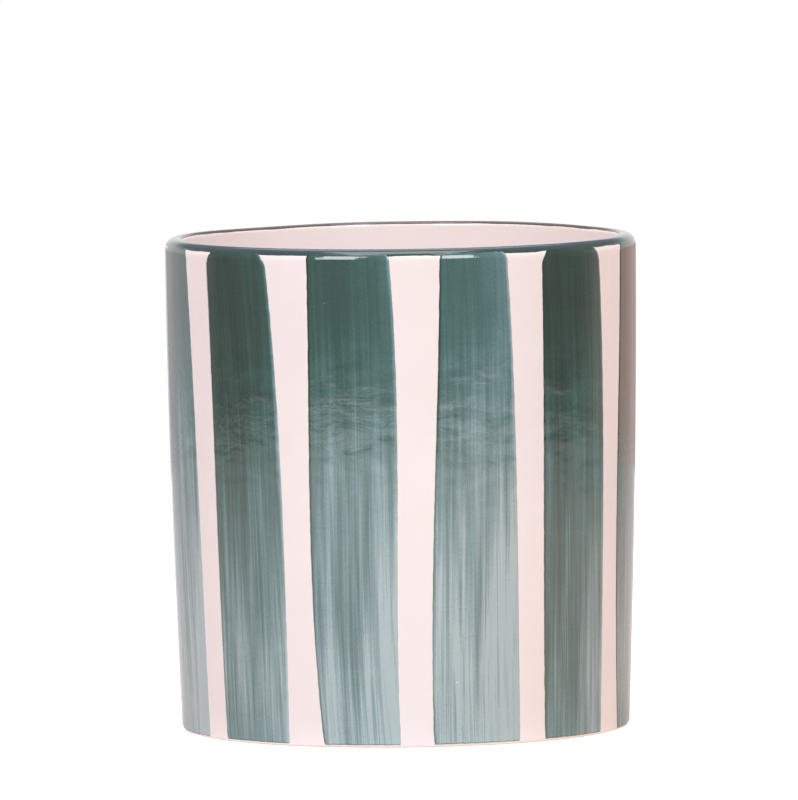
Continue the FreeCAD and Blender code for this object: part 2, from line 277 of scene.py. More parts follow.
underside = [(x, FOOT_DEPTH) for x in FLAT_RINGS]
recess = rounding(
    FOOT_INNER_RADIUS - RECESS_ROUND - GLAZE, FOOT_DEPTH - RECESS_ROUND - GLAZE,
    RECESS_ROUND + GLAZE, 90, 0,
)
ring_inside = rounding(
    FOOT_INNER_RADIUS + FOOT_INNER_ROUND - GLAZE, FOOT_INNER_ROUND - GLAZE,
    FOOT_INNER_ROUND - GLAZE, 180, 270, 5,
)
ring_outside = rounding(
    wall_radius(FOOT_OUTER_ROUND - GLAZE, FOOT_OUTER_ROUND), FOOT_OUTER_ROUND - GLAZE,
    FOOT_OUTER_ROUND - GLAZE, 270, 360,
)
foot_flat = [(58, 0), (60, 0)]
section = underside + recess + ring_inside + foot_flat + ring_outside
section += wall_points(GLAZE, 2.5, 135.0, 5.0) + lip_points(0.0, 6)
section += wall_points(WALL - GLAZE, 137.5, FLOOR_CORNER_Z + 0.5, 5.0) + floor_points(0.0)
clay_body = turn_layer("clay_body", section, clay)
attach(clay_body, "root")
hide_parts("pot_body")


# ---- The cream glaze outside ---------------------------------------------------------------
# A thin coat of pinkish cream glaze, dipped and fired to a gloss. It runs from the crest of the
# lip down to a soft edge just above the table, where the foot was wiped before firing.
GLAZE_LINE = 0.5
LIP_STEPS = 12

# Glaze surface: the slight waves, fine pitting and faint mottling of a fired gloss glaze.
glaze_surface, given, made = new_group(
    "Glaze surface",
    "ShaderNodeTree",
    [("Vector", "Vector"), ("Waves", "Float"), ("Pitting", "Float")],
    [("Height", "Float"), ("Mottle", "Float"), ("Pinholes", "Float")],
)
waves = add(glaze_surface, "ShaderNodeTexNoise",
            {"Vector": given["Vector"], "Scale": 95, "Detail": 1.5})
peel = add(glaze_surface, "ShaderNodeTexNoise",
           {"Vector": given["Vector"], "Scale": 700, "Detail": 1})
mottle = add(glaze_surface, "ShaderNodeTexNoise",
             {"Vector": given["Vector"], "Scale": 38, "Detail": 5, "Roughness": 0.6})
holes = add(glaze_surface, "ShaderNodeTexVoronoi", {"Vector": given["Vector"], "Scale": 135})
shade = add(glaze_surface, "ShaderNodeSeparateColor", {"Color": holes.outputs["Color"]})
# One cell in eleven has a pinhole in its middle.
chosen = calc(glaze_surface, "GREATER_THAN", shade.outputs[0], 0.91)
hole = span(glaze_surface, holes.outputs["Distance"], 0.02, 0.045, 1, 0)
pinhole = calc(glaze_surface, "MULTIPLY", chosen, hole)
wave_height = calc(glaze_surface, "MULTIPLY", waves.outputs["Fac"], given["Waves"])
peel_height = calc(glaze_surface, "MULTIPLY", peel.outputs["Fac"], given["Pitting"])
height = calc(glaze_surface, "ADD", wave_height, peel_height)
height = calc(glaze_surface, "SUBTRACT", height, pinhole)
glaze_surface.links.new(height, made["Height"])
glaze_surface.links.new(mottle.outputs["Fac"], made["Mottle"])
glaze_surface.links.new(pinhole, made["Pinholes"])


def lay_glaze(tree, where, waves, pitting):
    """Places the shared glaze surface in a material."""
    return add(tree, "ShaderNodeGroup", {"Vector": where, "Waves": waves, "Pitting": pitting},
               node_tree=glaze_surface).outputs


cream, tree, shader, where = new_material("Cream glaze")
surface = lay_glaze(tree, where, 2.0, 0.12)
tone = span(tree, surface["Mottle"], 0.3, 0.7)
colour = mix(tree, tone, (0.868, 0.785, 0.770, 1), (0.892, 0.815, 0.805, 1))
pitted = mix(tree, surface["Pinholes"], colour, (0.62, 0.49, 0.42, 1))
shine = span(tree, surface["Mottle"], 0, 1, 0.09, 0.16)
plug(tree, shader, {"Base Color": pitted, "Roughness": shine,
                    "Normal": bumped(tree, surface["Height"]), "IOR": 1.5})

# The foot's rounding, which the glaze follows down to its line and thins out on.
foot_z = FOOT_OUTER_ROUND - GLAZE
foot_x = wall_radius(foot_z, FOOT_OUTER_ROUND)
line_angle = -math.degrees(math.asin((foot_z - GLAZE_LINE) / FOOT_OUTER_ROUND))
section = []
for film, turn in ((-SUNK, -9), (0.12, -8), (0.24, -6), (0.34, -3)):
    section += rounding(foot_x, foot_z, foot_z + film, line_angle + turn, line_angle + turn, 1)[:1]
section += rounding(foot_x, foot_z, FOOT_OUTER_ROUND, line_angle, 0, 8)
section += wall_points(0.0, 2.4, LIP_OUTER_Z - 0.6, 1.2)
crest = wall_radius(LIP_OUTER_Z, LIP_OUTER_ROUND)
section += lip_points(GLAZE, LIP_STEPS)[:LIP_STEPS + 1] + [(crest, HEIGHT - GLAZE)]
section += [(wall_radius(LIP_OUTER_Z, 1.0), LIP_OUTER_Z)]
section += wall_points(GLAZE + SUNK, 130, 10, 20.0)
section += rounding(foot_x, foot_z, foot_z - SUNK, -5, line_angle, 4) + [section[0]]
outer_coat = turn_layer("outer_glaze_coat", section, cream)
# The wiping left the line a little uneven, so the glaze ends higher or lower round the foot.
for vertex in outer_coat.data.vertices:
    across, below = math.hypot(vertex.co.x, vertex.co.y) - foot_x * MM, vertex.co.z - foot_z * MM
    if below < 0:
        around = Vector((vertex.co.x, vertex.co.y, 0)).normalized()
        run = noise.noise(around * 6) + 0.5 * noise.noise(around * 21)
        reach, turn = math.hypot(across, below), math.atan2(below, across) * (1 + 0.09 * run)
        side = around * (foot_x * MM + reach * math.cos(turn))
        vertex.co = Vector((side.x, side.y, foot_z * MM + reach * math.sin(turn)))
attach(outer_coat, "root")
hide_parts("outer_glaze")


# ---- The cream glaze lining ----------------------------------------------------------------
# The same glaze, poured in and out again. It lies over the floor, the inside wall and the inner
# half of the lip, which makes the pot hold water.
section = [(crest, HEIGHT - GLAZE), (crest, HEIGHT)]
section += lip_points(GLAZE, LIP_STEPS)[LIP_STEPS + 1:]
section += wall_points(WALL, LIP_INNER_Z - 0.5, FLOOR_CORNER_Z + 0.5, 1.5)
section += floor_points(GLAZE) + [(x, FLOOR_TOP - GLAZE) for x in (0, 30, 48)]
section += rounding(
    wall_radius(FLOOR_CORNER_Z, WALL + FLOOR_ROUND), FLOOR_CORNER_Z, FLOOR_ROUND + GLAZE, -80, -5, 5
)
section += wall_points(WALL - GLAZE, 20, 130, 20.0) + [section[0]]
lining = turn_layer("inner_glaze_lining", section, cream)
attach(lining, "root")
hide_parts("inner_glaze")


# ---- The glaze under the pot ---------------------------------------------------------------
# A round patch of the same glaze in the recess underneath. It was sponged back from the foot
# ring, so that the pot doesn't stick to the kiln shelf, and ends in a soft edge.
BASE_PATCH_RADIUS = 53.0

top, low = FOOT_DEPTH, FOOT_DEPTH - GLAZE
patch_edge = rounding(BASE_PATCH_RADIUS - GLAZE, top, GLAZE, -90, 0, 6)
section = [(x, low) for x in FLAT_RINGS] + patch_edge + [(x, top) for x in FLAT_RINGS[2::-1]]
base_coat = turn_layer("base_glaze_coat", section, cream)
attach(base_coat, "root")
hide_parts("base_glaze")


# ---- The brush strokes ---------------------------------------------------------------------
# Twelve upright strokes of dark green ceramic colour, each pulled from the lip to the foot with
# one pass of a flat brush 25 mm wide. The load runs out on the way, so the paint is dense at the
# lip and thin and streaked below, with each edge as the hand left it. Below, the thin paint's
# pale blue-grey is also a painted reflection of the white table that the glaze mirrors.
STROKES = 12
# The first stroke's place, in degrees round from the middle of the front.
FIRST_STROKE = -72
STROKE_FOOT, STROKE_TOP = 0.8, 138.9
# Where the painted lip's lower edge crosses the strokes, and how far above it and below the foot
# the curves of their edges end.
LINE_EDGE = 138.3
TUCK, BELOW = 1.6, 5.0
# The paint's thickness, the width over which it thins out at the edges, and their waver.
FILM, TAPER, WOBBLE = 0.13, 0.45, 0.45
STROKE_COLUMNS, STROKE_ROWS = 89, 141
# How wide the top corners of each stroke are rounded.
CORNERS = [4.0, 6.0, 2.6, 3.2, 6.0, 4.5, 3.5, 4.8, 4.0, 4.8, 3.0, 4.5]
# The left and right edge of each stroke from foot to lip, as shares of the space per stroke.
EDGE_SHARES = [
    ((-0.360, -0.385, -0.335, -0.360), (0.380, 0.385, 0.385, 0.230)),
    ((-0.340, -0.385, -0.350, -0.435), (0.360, 0.380, 0.400, 0.230)),
    ((-0.290, -0.450, -0.355, -0.375), (0.360, 0.300, 0.425, 0.300)),
    ((-0.355, -0.415, -0.305, -0.285), (0.410, 0.370, 0.385, 0.280)),
    ((-0.325, -0.395, -0.365, -0.385), (0.400, 0.360, 0.405, 0.285)),
    ((-0.235, -0.480, -0.350, -0.330), (0.370, 0.370, 0.335, 0.310)),
    ((-0.345, -0.360, -0.385, -0.320), (0.380, 0.340, 0.385, 0.270)),
    ((-0.315, -0.405, -0.345, -0.370), (0.390, 0.370, 0.355, 0.300)),
    ((-0.370, -0.350, -0.395, -0.350), (0.345, 0.395, 0.365, 0.260)),
    ((-0.325, -0.385, -0.365, -0.300), (0.410, 0.350, 0.395, 0.310)),
    ((-0.360, -0.395, -0.335, -0.360), (0.370, 0.385, 0.405, 0.250)),
    ((-0.305, -0.415, -0.355, -0.340), (0.400, 0.350, 0.375, 0.290)),
]
# How densely each stroke is painted at its top and at its foot, from 0, bare, to 1.
LOADS = [
    (0.80, 0.08), (0.90, 0.36), (0.72, 0.14), (0.55, 0.04), (0.92, 0.35), (0.84, 0.32),
    (0.76, 0.24), (0.64, 0.16), (0.84, 0.36), (0.72, 0.20), (0.60, 0.12), (0.80, 0.34),
]

stroke, given, made = new_group(
    "Brush stroke",
    "GeometryNodeTree",
    [("Start", "Geometry"), ("Columns", "Int"), ("Rows", "Int"), ("Angle", "Float"),
     ("Edges 1", "Vector"), ("Edges 2", "Vector"), ("Edges 3", "Vector"), ("Edges 4", "Vector"),
     ("Foot", "Float"), ("Top", "Float"), ("Corner", "Float"), ("Film", "Float"),
     ("Wobble", "Float"), ("Load", "Vector"), ("Seed", "Float"), ("Material", "Material")],
    [("Stroke", "Geometry")],
)
block = add(stroke, "GeometryNodeMeshCube",
            {"Size": (1, 1, 1), "Vertices X": given["Columns"], "Vertices Y": 2,
             "Vertices Z": given["Rows"]})
spot = add(stroke, "GeometryNodeInputPosition").outputs[0]
spot = add(stroke, "ShaderNodeSeparateXYZ", {0: spot}).outputs
even, behind, level = [calc(stroke, "ADD", part, 0.5) for part in spot]


def crowd(share, amount):
    """Moves the steps of a row from 0 to 1 closer together towards its two ends."""
    wave = calc(stroke, "SINE", calc(stroke, "MULTIPLY", share, math.tau))
    return calc(stroke, "MULTIPLY_ADD", wave, -amount / math.tau, share)


# The columns and rows crowd towards the stroke's edges, where the film thins out.
across = crowd(even, 0.6)
up = crowd(level, 0.8)


def drift(where_x, where_y, scale_x, scale_y):
    """Smooth noise from -0.5 to 0.5 over two lengths of the stroke, its own for each stroke."""
    spread = add(stroke, "ShaderNodeCombineXYZ",
                 {0: calc(stroke, "MULTIPLY", where_x, scale_x),
                  1: calc(stroke, "MULTIPLY", where_y, scale_y), 2: given["Seed"]})
    cloud = add(stroke, "ShaderNodeTexNoise",
                {"Vector": spread.outputs[0], "Scale": 1, "Detail": 2})
    return calc(stroke, "SUBTRACT", cloud.outputs[0], 0.5)


foot_drift = calc(stroke, "MULTIPLY", drift(across, up, 9, 0), given["Wobble"])
foot = calc(stroke, "ADD", given["Foot"], foot_drift)
high = calc(stroke, "MULTIPLY_ADD", calc(stroke, "SUBTRACT", given["Top"], foot), up, foot)
low_pole, high_pole = STROKE_FOOT - BELOW, LINE_EDGE + TUCK
along = span(stroke, high, low_pole * MM, high_pole * MM)
poles = [given[f"Edges {number}"] for number in (1, 2, 3, 4)]
while len(poles) > 1:
    poles = [
        add(stroke, "ShaderNodeMix", {0: along, 4: first, 5: second}, data_type="VECTOR").outputs[1]
        for first, second in zip(poles, poles[1:])
    ]
sides = add(stroke, "ShaderNodeSeparateXYZ", {0: poles[0]})
corner = given["Corner"]
turn_z = calc(stroke, "SUBTRACT", high_pole * MM, corner)
past = calc(stroke, "MAXIMUM", calc(stroke, "SUBTRACT", high, turn_z), 0)
fall = calc(stroke, "SQRT", calc(stroke, "SUBTRACT", calc(stroke, "MULTIPLY", corner, corner),
                                 calc(stroke, "MULTIPLY", past, past)))
rounded = calc(stroke, "SUBTRACT", corner, fall)
left = calc(stroke, "ADD", sides.outputs[0], rounded)
right = calc(stroke, "SUBTRACT", sides.outputs[1], rounded)
width = calc(stroke, "SUBTRACT", right, left)
sway = calc(stroke, "MULTIPLY", drift(across, high, 3, 260), given["Wobble"])
side = calc(stroke, "ADD", calc(stroke, "MULTIPLY_ADD", width, across, left), sway)

# How far a point is from the stroke's left edge, right edge and foot.
from_left = calc(stroke, "MULTIPLY", width, across)
from_right = calc(stroke, "SUBTRACT", width, from_left)
from_foot = calc(stroke, "SUBTRACT", high, foot)
nearest = calc(stroke, "MINIMUM", calc(stroke, "MINIMUM", from_left, from_right), from_foot)
taper = span(stroke, nearest, 0, TAPER * MM, interpolation_type="SMOOTHSTEP")
ridges = calc(stroke, "MULTIPLY_ADD", drift(across, high, 15, 12), 0.3, 1)
front = calc(stroke, "MULTIPLY", calc(stroke, "MULTIPLY", given["Film"], taper), ridges)
lift = add(stroke, "ShaderNodeMix", {0: behind, 2: front, 3: -SUNK * MM}).outputs[0]

# The wall's radius at this height, with the lip's rounding above it and the foot's below it.
under_lip = calc(stroke, "SUBTRACT", calc(stroke, "MINIMUM", high, LIP_OUTER_Z * MM), ARC_Z * MM)
wall_face = calc(stroke, "SQRT", calc(stroke, "SUBTRACT", (ARC_RADIUS * MM) ** 2,
                                      calc(stroke, "MULTIPLY", under_lip, under_lip)))
over_lip = calc(stroke, "MAXIMUM", calc(stroke, "SUBTRACT", high, LIP_OUTER_Z * MM), 0)
lip_face = calc(stroke, "SQRT", calc(stroke, "SUBTRACT", (LIP_OUTER_ROUND * MM) ** 2,
                                     calc(stroke, "MULTIPLY", over_lip, over_lip)))
under_foot = calc(stroke, "MAXIMUM", calc(stroke, "SUBTRACT", foot_z * MM, high), 0)
foot_face = calc(stroke, "SQRT", calc(stroke, "SUBTRACT", (FOOT_OUTER_ROUND * MM) ** 2,
                                      calc(stroke, "MULTIPLY", under_foot, under_foot)))
radius = calc(stroke, "ADD", calc(stroke, "ADD", wall_face, lip_face), foot_face)
radius = calc(stroke, "ADD", radius, (ARC_X - LIP_OUTER_ROUND - FOOT_OUTER_ROUND) * MM)
radius = calc(stroke, "ADD", radius, lift)
depth = calc(stroke, "SQRT", calc(stroke, "SUBTRACT", calc(stroke, "MULTIPLY", radius, radius),
                                  calc(stroke, "MULTIPLY", side, side)))
point = add(stroke, "ShaderNodeCombineXYZ", {0: side, 1: calc(stroke, "MULTIPLY", depth, -1),
                                             2: high})
turned = add(stroke, "ShaderNodeVectorRotate", {"Vector": point.outputs[0],
                                                "Angle": given["Angle"]}, rotation_type="Z_AXIS")

# What the paint needs to know of each point, in millimetres: its place sideways from the
# stroke's middle and up it, and how far it is from the left edge, the right edge and the foot.
centre = calc(stroke, "MULTIPLY", calc(stroke, "ADD", left, right), 0.5)
bristle, high_mm, left_mm, right_mm, foot_mm = [
    calc(stroke, "MULTIPLY", length, 1 / MM)
    for length in (calc(stroke, "SUBTRACT", side, centre), high, from_left, from_right, from_foot)
]
place = add(stroke, "ShaderNodeCombineXYZ", {0: bristle, 1: high_mm, 2: given["Seed"]})
edges = add(stroke, "ShaderNodeCombineXYZ", {0: left_mm, 1: right_mm, 2: foot_mm})
geometry = block.outputs["Mesh"]
for name, note in (("stroke_place", place.outputs[0]), ("stroke_edges", edges.outputs[0]),
                   ("stroke_load", given["Load"])):
    geometry = add(stroke, "GeometryNodeStoreNamedAttribute",
                   {"Geometry": geometry, "Name": name, "Value": note},
                   data_type="FLOAT_VECTOR").outputs[0]
placed = add(stroke, "GeometryNodeSetPosition", {"Geometry": geometry,
                                                 "Position": turned.outputs[0]})
finish_tree(stroke, placed.outputs[0], given["Material"], made["Stroke"])

# Brush streaks: the lines that bristles leave, long along the stroke and narrow across it.
streaks, given, made = new_group(
    "Brush streaks",
    "ShaderNodeTree",
    [("Vector", "Vector"), ("Length", "Float")],
    [("Fine", "Float"), ("Broad", "Float"), ("Bands", "Float")],
)
spread = add(streaks, "ShaderNodeSeparateXYZ", {0: given["Vector"]})
lengthwise = calc(streaks, "DIVIDE", spread.outputs[1], given["Length"])
for name, across_scale, detail in (("Fine", 2.2, 2.5), ("Broad", 0.62, 1.5), ("Bands", 0.2, 0.0)):
    line = add(streaks, "ShaderNodeCombineXYZ",
               {0: calc(streaks, "MULTIPLY", spread.outputs[0], across_scale),
                1: calc(streaks, "MULTIPLY", lengthwise, 0.6 + across_scale / 3),
                2: spread.outputs[2]})
    lines = add(streaks, "ShaderNodeTexNoise", {"Vector": line.outputs[0], "Scale": 1,
                                                "Detail": detail})
    contrast = span(streaks, lines.outputs["Fac"], 0.34, 0.66, -1, 1, clamp=False)
    streaks.links.new(contrast, made[name])

paint, tree, shader, where = new_material("Brushed stripe paint")


def stroke_note(name):
    """What the strokes have noted under this name, whole and in its three parts."""
    note = add(tree, "ShaderNodeAttribute", attribute_name=name).outputs["Vector"]
    return [note, *add(tree, "ShaderNodeSeparateXYZ", {0: note}).outputs]


place, sideways, height, seed = stroke_note("stroke_place")
to_left, to_right, to_foot = stroke_note("stroke_edges")[1:]
top_load, foot_load = stroke_note("stroke_load")[1:3]
run = add(tree, "ShaderNodeGroup", {"Vector": place, "Length": 44}, node_tree=streaks).outputs

# The load falls over the stroke's middle ten centimetres.
fullness = span(tree, height, 22, 122)
density = add(tree, "ShaderNodeMix", {0: fullness, 2: foot_load, 3: top_load}).outputs[0]
# Wet paint drew into level, cloudy drifts 92 mm up, where the brush first began to run dry. The
# glaze mirrors the table's far edge at this height, and the lighter and darker clouds are also a
# painted reflection of that edge's broken line.
drifts_at = add(tree, "ShaderNodeCombineXYZ",
                {0: calc(tree, "MULTIPLY", sideways, 0.11), 1: calc(tree, "MULTIPLY", height, 0.17),
                 2: seed})
drifts_and_mirrored_edge = add(tree, "ShaderNodeTexNoise", {"Vector": drifts_at.outputs[0], "Scale": 1, "Detail": 5,
                                          "Roughness": 0.62, "Distortion": 0.6})
from_drift_and_mirror_line = calc(tree, "ABSOLUTE", calc(tree, "SUBTRACT", height, 92))
drifts_and_mirrored_edge_share = span(tree, from_drift_and_mirror_line, 6, 30, 1, 0.25, interpolation_type="SMOOTHSTEP")
cloud = calc(tree, "MULTIPLY", calc(tree, "SUBTRACT", drifts_and_mirrored_edge.outputs["Fac"], 0.5), drifts_and_mirrored_edge_share)
# The streaks show most where the paint is thin, and it is a little grainy as well.
thin = calc(tree, "MULTIPLY_ADD", calc(tree, "MULTIPLY", fullness, fullness), -0.74, 1)
streak = calc(tree, "MULTIPLY", run["Fine"], 0.12)
streak = calc(tree, "MULTIPLY_ADD", run["Broad"], 0.14, streak)
streak = calc(tree, "MULTIPLY_ADD", run["Bands"], 0.08, streak)
density = calc(tree, "MULTIPLY_ADD", streak, thin, density)
grain_at = add(tree, "ShaderNodeVectorMath", {0: place, 1: (2.4, 1.3, 1.0)}, operation="MULTIPLY")
grain = add(tree, "ShaderNodeTexNoise", {"Vector": grain_at.outputs[0], "Scale": 1, "Detail": 2})
graininess = calc(tree, "SUBTRACT", grain.outputs["Fac"], 0.5)
density = calc(tree, "MULTIPLY_ADD", graininess, 0.22, density)
density = calc(tree, "MULTIPLY_ADD", cloud, 0.5, density)
# Away from its edges it is nowhere much denser than at the stroke's top.
density = calc(tree, "MINIMUM", density, calc(tree, "ADD", top_load, 0.05))
# The brush leaned to the left, so each stroke is thinner over its right half.
density = calc(tree, "SUBTRACT", density, span(tree, to_right, 0, 13, 0.15, -0.03))
# Paint gathers in a fine dark line at the left edge and the foot, and thins at the right.
left_line = span(tree, to_left, 0.2, 0.8, 0.36, 0)
foot_line = span(tree, to_foot, 0.1, 0.6, 0.3, 0)
right_fade = span(tree, to_right, 0.1, 1.0, 0.36, 0)
density = calc(tree, "ADD", density, calc(tree, "MAXIMUM", left_line, foot_line))
density = calc(tree, "SUBTRACT", density, right_fade)
# The thin end of these colours, pale blue-grey, is partly thin paint and partly a painted
# reflection of the white table in the glaze.
paint_and_reflection_colours = add(tree, "ShaderNodeValToRGB", {"Fac": density})
ramp = paint_and_reflection_colours.color_ramp
ramp.elements[0].color = (0.375, 0.475, 0.490, 1)
ramp.elements[1].color = (0.030, 0.050, 0.040, 1)
for position, colour in (
    (0.15, (0.265, 0.358, 0.380, 1)),
    (0.35, (0.138, 0.240, 0.252, 1)),
    (0.50, (0.079, 0.167, 0.163, 1)),
    (0.70, (0.048, 0.107, 0.092, 1)),
    (0.85, (0.042, 0.072, 0.060, 1)),
):
    ramp.elements.new(position).color = colour
# Pinholes get a painted glint, a pale colour in the thick of the paint, and none shows close to
# a stroke's side.
pits = lay_glaze(tree, where, 0.0, 0.0)
inset = calc(tree, "MINIMUM", to_left, to_right)
painted_glints = calc(tree, "MULTIPLY", pits["Pinholes"], calc(tree, "GREATER_THAN", inset, 1.5))
painted_glint = mix(tree, painted_glints, paint_and_reflection_colours.outputs["Color"], (0.70, 0.78, 0.76, 1))
# At the very foot, where the wiping caught the paint, it fired brown.
burnt = span(tree, to_foot, 0.15, 0.5, 0.8, 0)
painted = mix(tree, burnt, painted_glint, (0.16, 0.115, 0.07, 1))
# The glaze over the paint lies in low level folds, which break up what it mirrors.
level_folds = add(tree, "ShaderNodeVectorMath", {0: where, 1: (0.7, 0.7, 1.9)},
                  operation="MULTIPLY")
surface = lay_glaze(tree, level_folds.outputs[0], 2.4, 0.05)
ridges = calc(tree, "MULTIPLY_ADD", run["Fine"], 0.08, surface["Height"])
ridges = calc(tree, "MULTIPLY_ADD", run["Broad"], 0.12, ridges)
ridges = calc(tree, "MULTIPLY_ADD", cloud, 2.0, ridges)
dry = span(tree, density, 0.1, 0.9, 0.11, 0.05)
plug(tree, shader, {"Base Color": painted, "Roughness": dry, "Normal": bumped(tree, ridges),
                    "IOR": 1.85})

for number, (left_shares, right_shares) in enumerate(EDGE_SHARES, start=1):
    values = {
        "Columns": STROKE_COLUMNS, "Rows": STROKE_ROWS,
        "Angle": math.radians(FIRST_STROKE + 360 / STROKES * (number - 1)),
        "Foot": STROKE_FOOT * MM, "Top": STROKE_TOP * MM, "Corner": CORNERS[number - 1] * MM,
        "Film": FILM * MM, "Wobble": WOBBLE * MM,
        "Load": (*LOADS[number - 1], 0.0), "Seed": 17.0 * number, "Material": paint,
    }
    for step, shares in enumerate(zip(left_shares, right_shares)):
        ring = BASE_RADIUS + (RIM_RADIUS - BASE_RADIUS) * step / 3
        space = ring * math.tau / STROKES * MM
        values[f"Edges {step + 1}"] = (shares[0] * space, shares[1] * space, 0.0)
    blank = bpy.data.meshes.new("blank")
    brush_stroke = grow(f"brush_stroke_{number:02d}", blank, stroke, values)
    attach(brush_stroke, "root")
    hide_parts(f"stripe_{number:02d}")


# ---- The painted lip -----------------------------------------------------------------------
# A line of the same dark green pulled round the lip with a loaded brush while the pot turned,
# over the tops of the strokes. It comes lower outside than inside, and both edges waver a little.
LINE_OUTER_DROP, LINE_INNER_DROP, LINE_FILM = 1.7, 0.6, 0.12
LINE_COLUMNS, LINE_STEPS = 512, 20
LOOP = 2 * LINE_STEPS

lip_paint, tree, shader, where = new_material("Painted lip")
along = add(tree, "ShaderNodeTexNoise", {"Vector": where, "Scale": 70, "Detail": 3})
fine = add(tree, "ShaderNodeTexNoise", {"Vector": where, "Scale": 900, "Detail": 2})
level = add(tree, "ShaderNodeSeparateXYZ", {0: where}).outputs[2]
# The crest is painted bluer, a painted reflection of the pale room that the glancing crest
# mirrors, and the paint below it is darker green.
crest_sheen_share = span(tree, level, (HEIGHT - 1.1) * MM, (HEIGHT - 0.1) * MM,
                   interpolation_type="SMOOTHSTEP")
crest_sheen_share = calc(tree, "MULTIPLY_ADD", calc(tree, "SUBTRACT", along.outputs["Fac"], 0.5), 0.5,
                   crest_sheen_share)
tone = mix(tree, crest_sheen_share, (0.046, 0.078, 0.066, 1), (0.055, 0.088, 0.120, 1))
# Inside the crest it is a thin brownish film.
flat = add(tree, "ShaderNodeVectorMath", {0: where, 1: (1, 1, 0)}, operation="MULTIPLY")
reach = add(tree, "ShaderNodeVectorMath", {0: flat.outputs[0]}, operation="LENGTH").outputs["Value"]
tone = mix(tree, span(tree, reach, 64.0 * MM, 63.1 * MM), tone, (0.125, 0.105, 0.098, 1))
surface = lay_glaze(tree, where, 1.6, 0.2)
relief = calc(tree, "MULTIPLY_ADD", fine.outputs["Fac"], 0.2, surface["Height"])
plug(tree, shader, {"Base Color": tone, "Normal": bumped(tree, relief), "Roughness": 0.07,
                    "IOR": 1.6})

outer_x = wall_radius(LIP_OUTER_Z, LIP_OUTER_ROUND)
inner_x = wall_radius(LIP_INNER_Z, LIP_INNER_INSET)
points, faces = [], []
for column in range(LINE_COLUMNS):
    angle = math.tau * column / LINE_COLUMNS
    around = Vector((math.cos(angle), math.sin(angle), 0))
    waver = 0.16 * noise.noise(around * 9) + 0.10 * noise.noise(around * 31)
    inner_waver = 0.14 * noise.noise(around * 8 + Vector((5, 5, 5)))
    start = math.asin((LIP_OUTER_ROUND - LINE_OUTER_DROP + waver) / LIP_OUTER_ROUND)
    end = math.pi - math.asin((LIP_INNER_ROUND - LINE_INNER_DROP + inner_waver) / LIP_INNER_ROUND)
    for step in range(LOOP):
        front = step < LINE_STEPS
        share = (step if front else LOOP - 1 - step) / (LINE_STEPS - 1)
        turn = start + (end - start) * share
        film = LINE_FILM * min(1, 12 * share, 12 * (1 - share)) ** 0.5 if front else -SUNK
        outside = turn < math.pi / 2
        lip_radius = (LIP_OUTER_ROUND if outside else LIP_INNER_ROUND) + film
        x = (outer_x if outside else inner_x) + lip_radius * math.cos(turn)
        z = (LIP_OUTER_Z if outside else LIP_INNER_Z) + lip_radius * math.sin(turn)
        point = around * (x * MM) + Vector((0, 0, z * MM))
        points.append(point + thrown(point))
    here, there = column * LOOP, (column + 1) % LINE_COLUMNS * LOOP
    for step in range(LOOP):
        ahead = (step + 1) % LOOP
        faces.append((here + step, there + step, there + ahead, here + ahead))
mesh = bpy.data.meshes.new("lip_line")
mesh.from_pydata(points, [], faces)
mesh.shade_smooth()
mesh.materials.append(lip_paint)
lip_line = bpy.data.objects.new("lip_line", mesh)
bpy.context.scene.collection.objects.link(lip_line)
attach(lip_line, "root")
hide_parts("rim_band")


# ---- The table ------------------------------------------------------------------------------
# A round white table top that the pot stands on. It ends 0.9 m off, so the glossy wall mirrors it
# up to about two thirds of its height, and the darker room above that.
# The rings of the table top in metres, from the opening under the pot out to the rim.
TABLE_RINGS, TABLE_SEGMENTS = (0.0612, 0.1, 0.2, 0.5, 0.9), 128

table_white, tree, shader, where = new_material("White table")
ray = add(tree, "ShaderNodeLightPath").outputs
way = add(tree, "ShaderNodeVectorMath", {0: where}, operation="NORMALIZE").outputs[0]
way = add(tree, "ShaderNodeSeparateXYZ", {0: way}).outputs
radius = add(tree, "ShaderNodeVectorMath", {0: where}, operation="LENGTH").outputs["Value"]
# The table top is tinted slightly pink to the left and more so to the right.
tint = add(tree, "ShaderNodeValToRGB", {"Fac": calc(tree, "MULTIPLY_ADD", way[0], 0.5, 0.5)})
tint.color_ramp.elements[0].color = (0.83, 0.77, 0.75, 1)
tint.color_ramp.elements[1].color = (0.90, 0.72, 0.64, 1)
tint.color_ramp.elements.new(0.5).color = (0.80, 0.80, 0.80, 1)
# Painted shade: the table's colour darkens towards its rim at the two sides, where the pot's
# gloss mirrors it.
rim_shade = span(tree, radius, TABLE_RINGS[-1] / 2, TABLE_RINGS[-1])
side_shade = span(tree, calc(tree, "ABSOLUTE", way[0]), 0.65, 0.9)
shaded = mix(tree, calc(tree, "MULTIPLY", rim_shade, side_shade), tint.outputs["Color"],
             (0.52, 0.52, 0.54, 1))
# What it throws back onto the pot is dimmer than what it shows.
thrown_back = calc(tree, "MULTIPLY", ray["Is Diffuse Ray"], 0.25)
dimmed = mix(tree, thrown_back, shaded, (0, 0, 0, 1))
# The table glows only in what the pot's gloss mirrors, a painted reflection that is whitest in
# front and a little greyer round the sides.
glow = calc(tree, "MULTIPLY", ray["Is Glossy Ray"], span(tree, way[1], -0.9, -0.2, 0.20, 0.0))
# Within a centimetre of the foot the table glows onto the pot, painted light that keeps a dark
# line of shade from showing there.
glow_round_foot = span(tree, radius, 0.062, 0.072, 0.5, 0.0)
glow = calc(tree, "MULTIPLY_ADD", ray["Is Diffuse Ray"], glow_round_foot, glow)
glow = calc(tree, "MULTIPLY_ADD", ray["Is Camera Ray"], 0.8, glow)
plug(tree, shader, {"Base Color": dimmed, "Roughness": 0.9, "Specular IOR Level": 0.0,
                    "Emission Color": (1, 1, 1, 1), "Emission Strength": glow})
